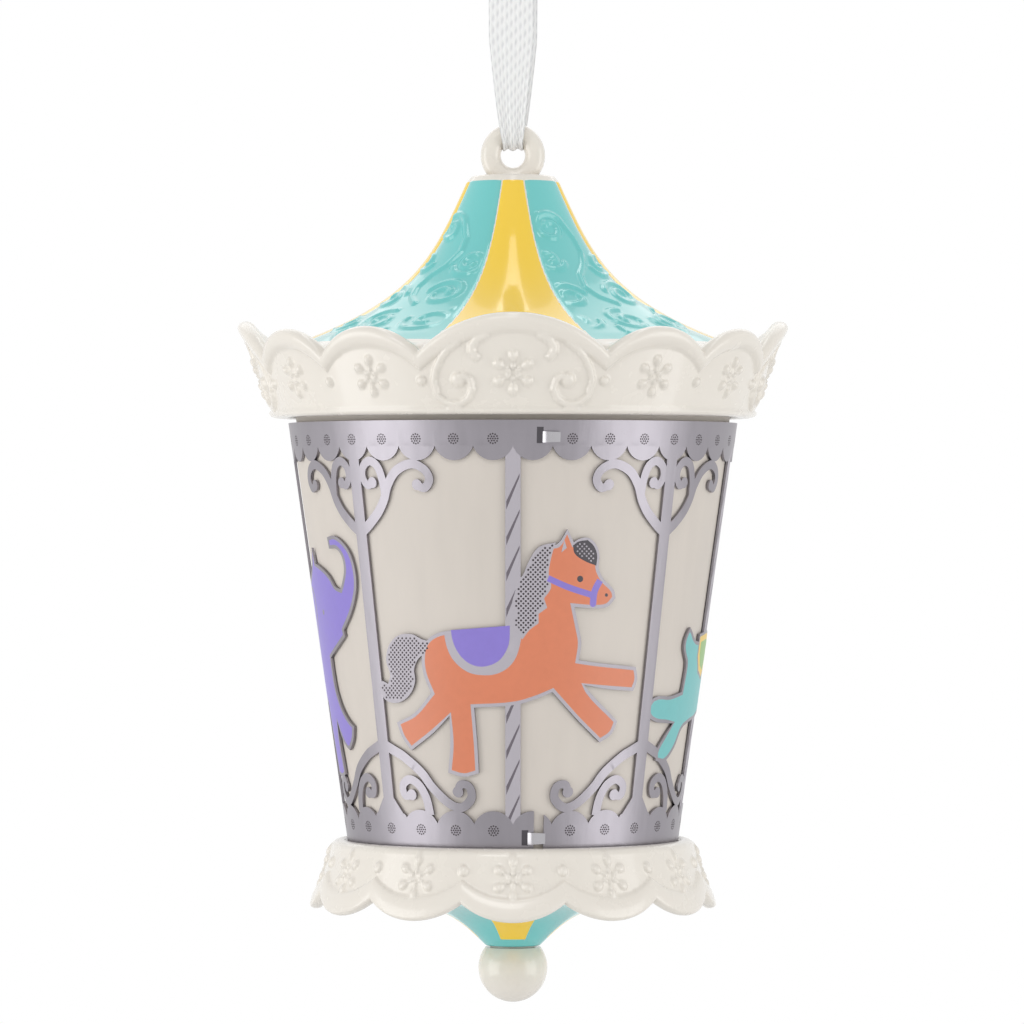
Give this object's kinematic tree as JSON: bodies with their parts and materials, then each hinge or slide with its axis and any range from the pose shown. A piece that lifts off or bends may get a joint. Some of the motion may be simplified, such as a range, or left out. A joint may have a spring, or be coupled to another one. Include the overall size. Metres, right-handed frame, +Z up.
{
  "type": "carousel music box",
  "caption": "Hanging porcelain carousel with a striped roof, a turning drum in an etched metal wrap of carousel animals, and a wind-up musical movement inside.",
  "frame": {"origin": "hook point, inside the top of the ribbon loop", "axes": "+Z up along the axis the drum turns on, -Y to the front with the horse, +X to the viewer's right"},
  "size_m": [0.0734, 0.0734, 0.1577],
  "materials": {
    "ribbon": "white satin ribbon",
    "canopy_porcelain": "glossy off-white glaze with teal and yellow panels",
    "base_porcelain": "glossy off-white glaze with teal and yellow panels",
    "drum_porcelain": "satin cream glaze",
    "knob_porcelain": "glossy off-white glaze",
    "etched_metal": "satin etched sheet with enamel colours",
    "plate_steel": "zinc plated",
    "movement_brass": "brushed",
    "cylinder_brass": "polished",
    "comb_steel": "ground",
    "screw_steel": "bright",
    "spring_steel": "blued",
    "arbor_steel": "bright",
    "disc_plastic": "moulded",
    "fan_aluminium": "thin sheet"
  },
  "bodies": {
    "hanger": {"ribbon_loop": "ribbon", "ribbon_knot": "ribbon"},
    "canopy": {"canopy": "canopy_porcelain", "top_plate": "plate_steel", "pillars": "movement_brass", "pillar_screws_top": "screw_steel", "pillar_screws_bottom": "screw_steel", "bedplate": "movement_brass", "click_stud": "screw_steel", "comb": "comb_steel", "comb_post": "movement_brass", "comb_screws": "screw_steel"},
    "carousel": {"drum": "drum_porcelain", "metal_wrap": "etched_metal", "base": "base_porcelain", "base_bush": "disc_plastic", "spring_barrel": "movement_brass", "barrel_cover": "movement_brass", "mainspring": "spring_steel", "drive_disc": "disc_plastic", "disc_screws": "screw_steel"},
    "winder": {"winding_arbor": "arbor_steel", "ratchet_wheel": "arbor_steel", "retaining_ring": "spring_steel", "thrust_washer": "disc_plastic", "ball_knob": "knob_porcelain"},
    "click": {"click": "spring_steel", "click_spring": "spring_steel"},
    "cylinder": {"pin_cylinder": "cylinder_brass", "cylinder_arbor": "arbor_steel", "cylinder_pinion": "arbor_steel", "cylinder_wheel": "movement_brass"},
    "idler": {"idler_arbor": "arbor_steel", "idler_pinion": "arbor_steel", "idler_wheel": "movement_brass"},
    "fly": {"fly_arbor": "arbor_steel", "fly_pinion": "arbor_steel", "fly_fan": "fan_aluminium"}
  },
  "joints": [
    {"name": "eye_swing", "type": "hinge", "parent": "hanger", "child": "canopy", "pos_m": [0, 0, -0.033], "axis": [0, 1, 0], "range_deg": [-25, 25]},
    {"name": "carousel_turn", "type": "hinge", "parent": "canopy", "child": "carousel", "pos_m": [0, 0, -0.09], "axis": [0, 0, 1], "continuous": true},
    {"name": "winder_turn", "type": "hinge", "parent": "canopy", "child": "winder", "pos_m": [0, 0, -0.11], "axis": [0, 0, 1], "continuous": true},
    {"name": "click_pivot", "type": "hinge", "parent": "canopy", "child": "click", "pos_m": [-0.00566, 0.00566, -0.0845], "axis": [0, 0, 1], "range_deg": [0, 8], "stiffness_Nm_per_rad": 0.0005},
    {"name": "cylinder_spin", "type": "hinge", "parent": "canopy", "child": "cylinder", "pos_m": [0.012, 0, -0.078], "axis": [0, 0, 1], "continuous": true},
    {"name": "idler_spin", "type": "hinge", "parent": "canopy", "child": "idler", "pos_m": [0.0087, -0.00572, -0.069], "axis": [0, 0, 1], "continuous": true},
    {"name": "fly_spin", "type": "hinge", "parent": "canopy", "child": "fly", "pos_m": [0.0029, -0.00727, -0.078], "axis": [0, 0, 1], "continuous": true}
  ],
  "couplings": [
    {"joint": "cylinder_spin", "follows": "carousel_turn", "ratio": -4},
    {"joint": "idler_spin", "follows": "carousel_turn", "ratio": 18},
    {"joint": "fly_spin", "follows": "carousel_turn", "ratio": -72}
  ]
}
